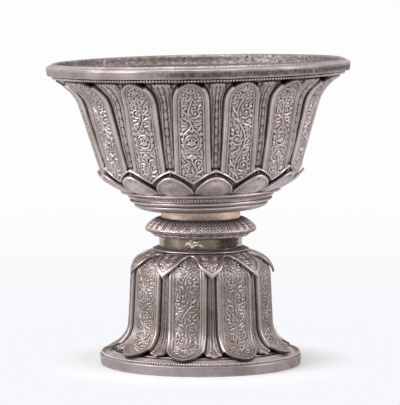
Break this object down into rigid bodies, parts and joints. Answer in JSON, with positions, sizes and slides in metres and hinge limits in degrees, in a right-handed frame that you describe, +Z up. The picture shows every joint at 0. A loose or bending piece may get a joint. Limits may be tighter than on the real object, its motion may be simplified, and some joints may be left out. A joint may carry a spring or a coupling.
{
  "type": "footed cup",
  "caption": "Footed ritual cup in sheet silver: flaring bowl and bell-shaped foot with chased lotus petals, ringed knop and beaded rim and foot bands.",
  "frame": {"origin": "centre of the foot's resting rim, on the floor under the cup", "axes": "+Z up along the foot and stem, +X to the right and -Y towards the viewer of the picture; the bowl leans 1.2 degrees towards -X"},
  "size_m": [0.16, 0.16, 0.161],
  "materials": {
    "chased_silver": "chased and stippled sheet silver with grey-mauve patina, dark in the recesses and bright on the raised edges",
    "plain_silver": "plain hand-raised silver, softly polished with faint hammer and wiping marks and a warm tarnish",
    "liner_silver": "plain silver inside the bowl, streaked brownish grey",
    "copper_neck": "copper-pink metal with thin grey-green silver wash, worn",
    "brass_sleeve": "dark olive-brown brass",
    "repair_solder": "rough pale solder"
  },
  "bodies": {
    "root": {"foot_band": "plain_silver", "foot_plate": "chased_silver", "foot_bead_wire": "plain_silver", "foot_petal_skirt": "chased_silver", "foot_sepal_ring": "chased_silver", "foot_crown": "liner_silver", "foot_bell": "liner_silver", "stem_tube": "copper_neck", "foot_collar": "plain_silver", "lower_neck_sleeve": "brass_sleeve", "neck_solder_drop": "repair_solder", "knop_lower": "chased_silver", "knop_upper": "chased_silver", "bowl_base_dish": "plain_silver", "base_bead_wire": "plain_silver", "base_top_ring": "plain_silver", "bowl_petal_shell": "chased_silver", "bowl_sepal_ring": "chased_silver", "bowl_liner_floor": "liner_silver", "bowl_liner_wall": "liner_silver", "bowl_liner_flare": "liner_silver", "rim_lip": "plain_silver", "rim_band": "plain_silver", "rim_bead_wire": "plain_silver"}
  },
  "joints": []
}
